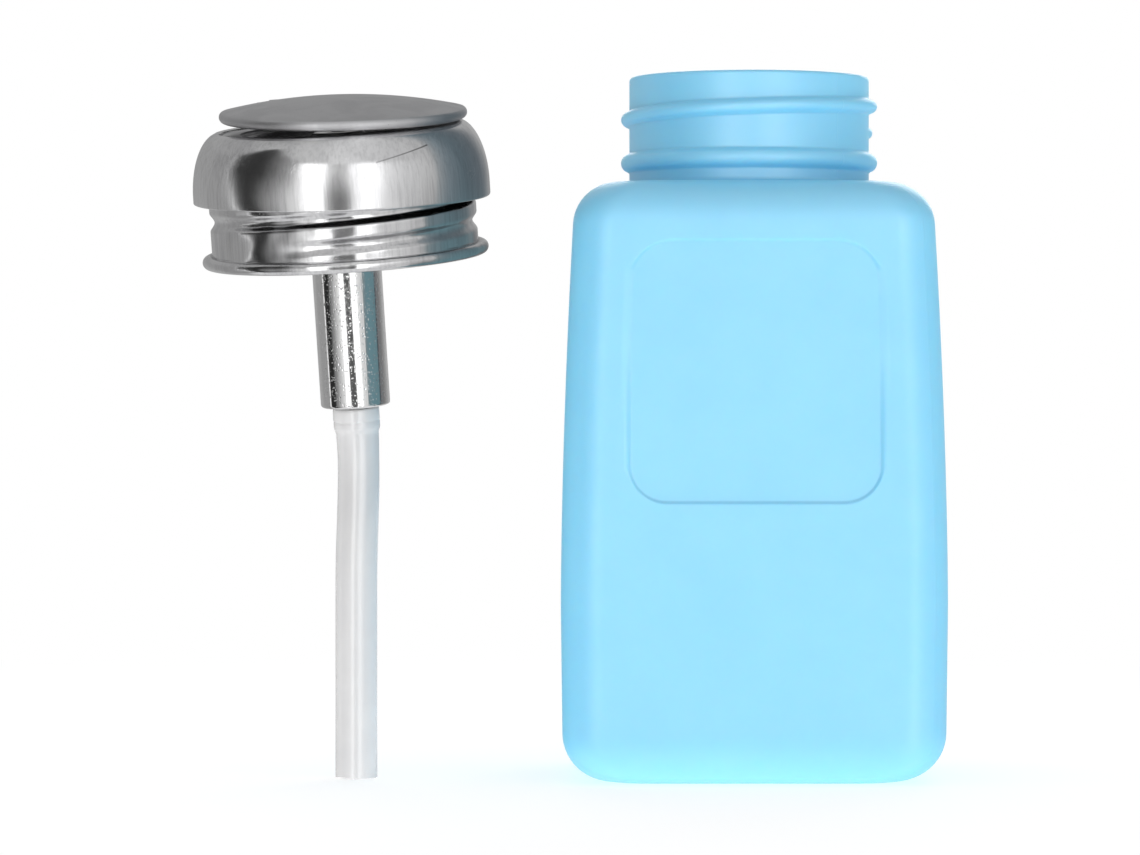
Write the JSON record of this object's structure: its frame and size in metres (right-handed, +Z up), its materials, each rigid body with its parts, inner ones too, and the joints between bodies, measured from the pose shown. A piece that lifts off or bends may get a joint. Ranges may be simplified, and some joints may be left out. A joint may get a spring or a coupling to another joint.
{
  "type": "solvent dispenser bottle",
  "caption": "Square plastic dispenser bottle with a threaded neck, and its unscrewed metal pump head with flip lid, press dish and dip tube standing beside it.",
  "frame": {"origin": "on the standing surface, under the middle of the bottle and pump head's common outline", "axes": "+X from the pump head to the bottle, +Y towards the bottle's back, +Z up"},
  "size_m": [0.1198, 0.0668, 0.1131],
  "materials": {
    "blue_plastic": "satin blow-moulded polyethylene, light sky blue",
    "polished_steel": "polished stainless steel with fine handling marks",
    "satin_steel": "satin stainless steel",
    "white_plastic": "natural polypropylene",
    "seal_rubber": "solvent-resistant seal, matt",
    "tube_plastic": "milky translucent polyethylene tube"
  },
  "bodies": {
    "bottle": {"bottle": "blue_plastic"},
    "pump_head": {"threaded_shell": "polished_steel", "dome_collar": "polished_steel", "neck_liner": "white_plastic", "well_cup": "satin_steel", "cylinder_washer": "seal_rubber", "cylinder": "polished_steel", "cylinder_nut": "polished_steel", "guide_bush": "white_plastic", "foot_valve_plug": "white_plastic", "inlet_ball_cage": "polished_steel", "return_spring": "polished_steel", "hinge_bracket": "polished_steel", "hinge_pin": "polished_steel", "dip_tube": "tube_plastic"},
    "flip_lid": {"lid": "satin_steel", "lid_knuckle": "satin_steel"},
    "plunger": {"press_dish": "satin_steel", "dish_nozzle": "polished_steel", "stem": "polished_steel", "piston": "white_plastic", "piston_seal": "seal_rubber", "outlet_ball_cage": "polished_steel"},
    "outlet_valve": {"outlet_ball": "polished_steel"},
    "inlet_valve": {"inlet_ball": "polished_steel"}
  },
  "joints": [
    {"name": "head_lift", "type": "slide", "parent": "bottle", "child": "pump_head", "axis": [0, 0, 1], "range_m": [0, 0.13]},
    {"name": "lid_hinge", "type": "hinge", "parent": "pump_head", "child": "flip_lid", "pos_m": [-0.04708, 0.00587, 0.10852], "axis": [-0.8606, -0.4957, -0.1165], "range_deg": [-0.4, 105]},
    {"name": "dish_press", "type": "slide", "parent": "pump_head", "child": "plunger", "axis": [0.0588, 0.1305, -0.9897], "range_m": [0, 0.0052], "stiffness_N_per_m": 500, "springref_m": -0.004, "deforming": ["return_spring"]},
    {"name": "outlet_ball_lift", "type": "slide", "parent": "plunger", "child": "outlet_valve", "axis": [-0.0588, -0.1305, 0.9897], "range_m": [0, 0.001]},
    {"name": "inlet_ball_lift", "type": "slide", "parent": "pump_head", "child": "inlet_valve", "axis": [-0.0588, -0.1305, 0.9897], "range_m": [0, 0.0012]}
  ]
}
